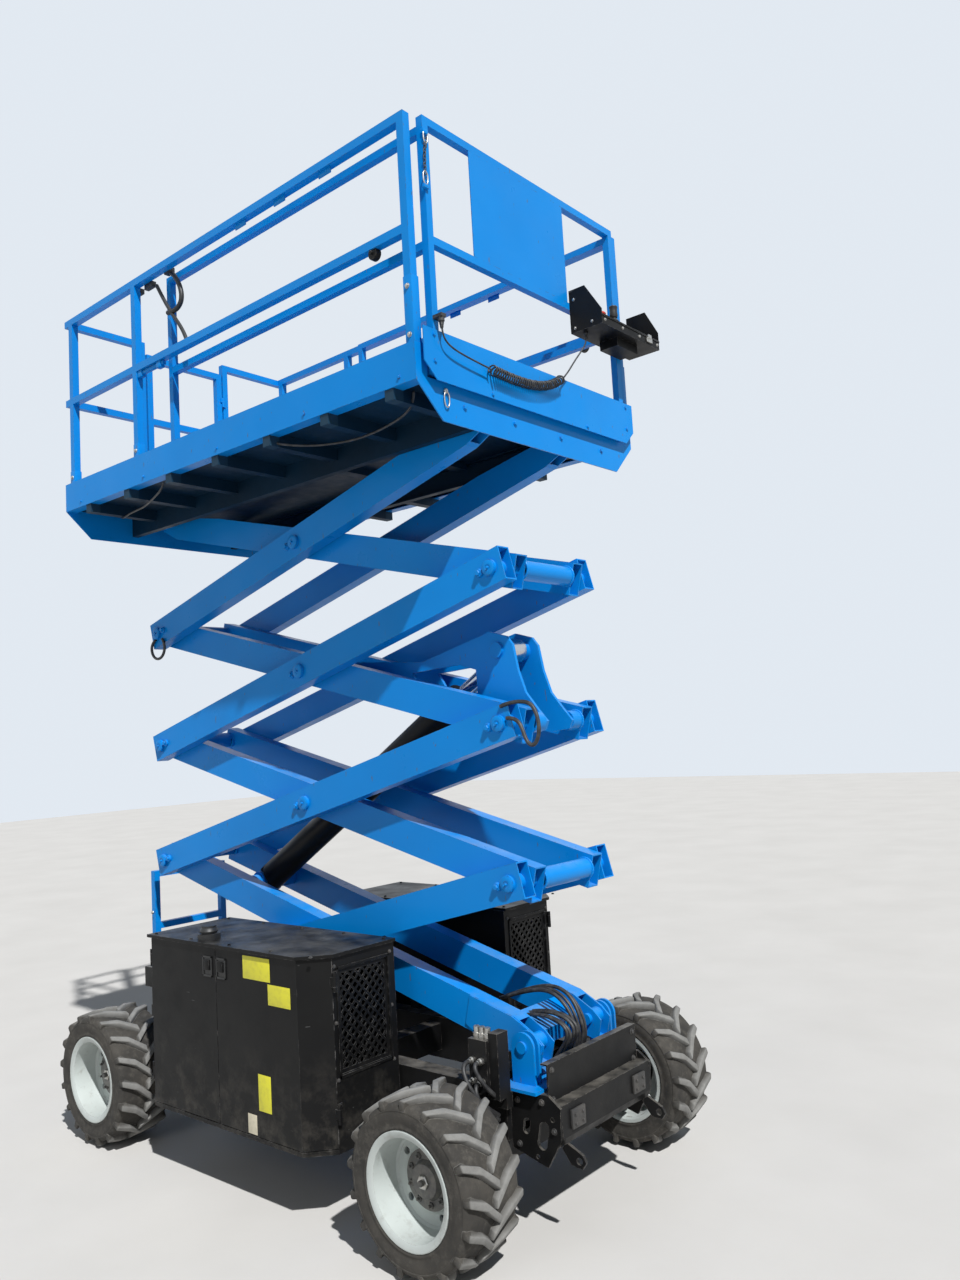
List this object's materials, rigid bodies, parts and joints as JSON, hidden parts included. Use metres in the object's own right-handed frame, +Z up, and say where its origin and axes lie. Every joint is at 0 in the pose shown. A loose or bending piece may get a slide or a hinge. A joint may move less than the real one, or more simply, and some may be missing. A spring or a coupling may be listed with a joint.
{
  "type": "scissor lift",
  "caption": "Rough-terrain scissor lift, raised: blue arm stack and railed platform on a black chassis with side boxes and lugged tyres.",
  "frame": {"origin": "ground level, midway between the axles and on the centre plane, at the bottom centre of the overall box", "axes": "+X forward to the steered wheels and the extension deck's end, +Y to the left side, +Z up"},
  "size_m": [3.12, 1.748, 4.5099],
  "materials": {
    "blue_paint": "gloss",
    "black_paint": "satin",
    "rim_paint": "satin",
    "tyre": "matte",
    "chrome_rod": "polished",
    "sign_sheet": "satin",
    "cord_rubber": "satin",
    "cast_iron": "matte"
  },
  "bodies": {
    "chassis": {"chassis_frame": "black_paint", "front_nose": "black_paint", "pivot_brackets": "blue_paint", "slide_guides": "black_paint", "ladder": "blue_paint", "front_axle": "black_paint", "rear_axle": "black_paint", "engine_box": "black_paint", "engine_lid": "black_paint", "engine_grille": "black_paint", "engine_block": "cast_iron", "tank_box": "black_paint", "tank_lid": "black_paint", "tank_grille": "black_paint", "beacon": "black_paint", "valve_unit": "black_paint"},
    "steering_left": {"knuckle_left": "black_paint"},
    "steering_right": {"knuckle_right": "black_paint"},
    "steering_rod": {"tie_rod": "black_paint"},
    "wheel_front_left": {"tyre_front_left": "tyre", "rim_front_left": "rim_paint"},
    "wheel_front_right": {"tyre_front_right": "tyre", "rim_front_right": "rim_paint"},
    "wheel_rear_left": {"tyre_rear_left": "tyre", "rim_rear_left": "rim_paint"},
    "wheel_rear_right": {"tyre_rear_right": "tyre", "rim_rear_right": "rim_paint"},
    "engine_rear_door": {"engine_door_rear": "black_paint"},
    "engine_front_door": {"engine_door_front": "black_paint"},
    "tank_rear_door": {"tank_door_rear": "black_paint"},
    "tank_front_door": {"tank_door_front": "black_paint"},
    "inner_1": {"inner_arms_1": "blue_paint"},
    "outer_1": {"outer_arms_1": "blue_paint"},
    "inner_2": {"inner_arms_2": "blue_paint"},
    "outer_2": {"outer_arms_2": "blue_paint"},
    "inner_3": {"inner_arms_3": "blue_paint"},
    "outer_3": {"outer_arms_3": "blue_paint"},
    "inner_4": {"inner_arms_4": "blue_paint"},
    "outer_4": {"outer_arms_4": "blue_paint"},
    "cylinder_barrel": {"lift_cylinder_barrel": "black_paint"},
    "cylinder_rod": {"lift_cylinder_rod": "chrome_rod"},
    "platform": {"deck_sides": "blue_paint", "deck_end_front": "blue_paint", "deck_end_rear": "blue_paint", "deck_frame": "blue_paint", "main_rails": "blue_paint", "rear_rails": "blue_paint"},
    "platform_gate": {"gate": "blue_paint"},
    "extension": {"extension_deck": "blue_paint", "extension_rails": "blue_paint", "sign_panel": "blue_paint", "control_box": "black_paint", "cord_gland": "cord_rubber", "cord_lead": "cord_rubber", "cord_coil": "cord_rubber", "cord_tail": "cord_rubber"}
  },
  "joints": [
    {"name": "steer_left", "type": "hinge", "parent": "chassis", "child": "steering_left", "pos_m": [1.15, 0.54, 0.333], "axis": [0, 0, 1], "range_deg": [-33, 33]},
    {"name": "steer_right", "type": "hinge", "parent": "chassis", "child": "steering_right", "pos_m": [1.15, -0.54, 0.333], "axis": [0, 0, 1], "range_deg": [-34, 34]},
    {"name": "steer_rod_slide", "type": "slide", "parent": "chassis", "child": "steering_rod", "axis": [0, 1, 0], "range_m": [-0.097, 0.097]},
    {"name": "spin_front_left", "type": "hinge", "parent": "steering_left", "child": "wheel_front_left", "pos_m": [1.15, 0.724, 0.333], "axis": [0, 1, 0], "continuous": true},
    {"name": "spin_front_right", "type": "hinge", "parent": "steering_right", "child": "wheel_front_right", "pos_m": [1.15, -0.724, 0.333], "axis": [0, 1, 0], "continuous": true},
    {"name": "spin_rear_left", "type": "hinge", "parent": "chassis", "child": "wheel_rear_left", "pos_m": [-1.15, 0.724, 0.333], "axis": [0, 1, 0], "continuous": true},
    {"name": "spin_rear_right", "type": "hinge", "parent": "chassis", "child": "wheel_rear_right", "pos_m": [-1.15, -0.724, 0.333], "axis": [0, 1, 0], "continuous": true},
    {"name": "engine_rear_door_hinge", "type": "hinge", "parent": "chassis", "child": "engine_rear_door", "pos_m": [-0.578, -0.842, 0.7], "axis": [0, 0, -1], "range_deg": [0, 110]},
    {"name": "engine_front_door_hinge", "type": "hinge", "parent": "chassis", "child": "engine_front_door", "pos_m": [0.651, -0.742, 0.7], "axis": [0, 0, 1], "range_deg": [0, 100]},
    {"name": "tank_rear_door_hinge", "type": "hinge", "parent": "chassis", "child": "tank_rear_door", "pos_m": [-0.578, 0.842, 0.7], "axis": [0, 0, 1], "range_deg": [0, 110]},
    {"name": "tank_front_door_hinge", "type": "hinge", "parent": "chassis", "child": "tank_front_door", "pos_m": [0.651, 0.742, 0.7], "axis": [0, 0, -1], "range_deg": [0, 100]},
    {"name": "lift", "type": "hinge", "parent": "chassis", "child": "inner_1", "pos_m": [1.274, 0, 0.715], "axis": [0, 1, 0], "range_deg": [-9, 47]},
    {"name": "cross_1", "type": "hinge", "parent": "inner_1", "child": "outer_1", "pos_m": [-0.00701, 0, 1.04367], "axis": [0, 1, 0], "range_deg": [-94.01, 18.01]},
    {"name": "left_1", "type": "hinge", "parent": "inner_1", "child": "outer_2", "pos_m": [-1.28802, 0, 1.37234], "axis": [0, 1, 0], "range_deg": [-94.01, 18.01]},
    {"name": "cross_2", "type": "hinge", "parent": "outer_2", "child": "inner_2", "pos_m": [-0.00701, 0, 1.70101], "axis": [0, 1, 0], "range_deg": [-18.01, 94.01]},
    {"name": "right_2", "type": "hinge", "parent": "outer_2", "child": "inner_3", "pos_m": [1.274, 0, 2.02968], "axis": [0, 1, 0], "range_deg": [-18.01, 94.01]},
    {"name": "cross_3", "type": "hinge", "parent": "inner_3", "child": "outer_3", "pos_m": [-0.00701, 0, 2.35834], "axis": [0, 1, 0], "range_deg": [-94.01, 18.01]},
    {"name": "left_3", "type": "hinge", "parent": "inner_3", "child": "outer_4", "pos_m": [-1.28802, 0, 2.68701], "axis": [0, 1, 0], "range_deg": [-94.01, 18.01]},
    {"name": "cross_4", "type": "hinge", "parent": "outer_4", "child": "inner_4", "pos_m": [-0.00701, 0, 3.01568], "axis": [0, 1, 0], "range_deg": [-18.01, 94.01]},
    {"name": "platform_level", "type": "hinge", "parent": "outer_4", "child": "platform", "pos_m": [1.274, 0, 3.34435], "axis": [0, 1, 0], "range_deg": [-9.01, 47.01]},
    {"name": "cylinder_swing", "type": "hinge", "parent": "inner_1", "child": "cylinder_barrel", "pos_m": [-0.76012, 0, 1.23689], "axis": [0, 1, 0], "range_deg": [-87.9, 16.85]},
    {"name": "cylinder_stroke", "type": "slide", "parent": "cylinder_barrel", "child": "cylinder_rod", "axis": [0.8561, 0, 0.5168], "range_m": [-0.225, 1.17]},
    {"name": "extension_slide", "type": "slide", "parent": "platform", "child": "extension", "axis": [1, 0, 0], "range_m": [0, 1.5]},
    {"name": "gate_hinge", "type": "hinge", "parent": "platform", "child": "platform_gate", "pos_m": [-1.415, 0.276, 3.96], "axis": [0, 0, 1], "range_deg": [0, 90]}
  ],
  "couplings": [
    {"joint": "steer_right", "follows": "steer_left", "ratio": 1},
    {"joint": "steer_rod_slide", "follows": "steer_left", "m_per_rad": -0.165},
    {"joint": "cross_1", "follows": "lift", "ratio": -2},
    {"joint": "left_1", "follows": "lift", "ratio": -2},
    {"joint": "cross_2", "follows": "lift", "ratio": 2},
    {"joint": "right_2", "follows": "lift", "ratio": 2},
    {"joint": "cross_3", "follows": "lift", "ratio": -2},
    {"joint": "left_3", "follows": "lift", "ratio": -2},
    {"joint": "cross_4", "follows": "lift", "ratio": 2},
    {"joint": "platform_level", "follows": "lift", "ratio": 1},
    {"joint": "cylinder_swing", "follows": "lift", "ratio": -1.87},
    {"joint": "cylinder_stroke", "follows": "lift", "m_per_rad": 1.425}
  ]
}
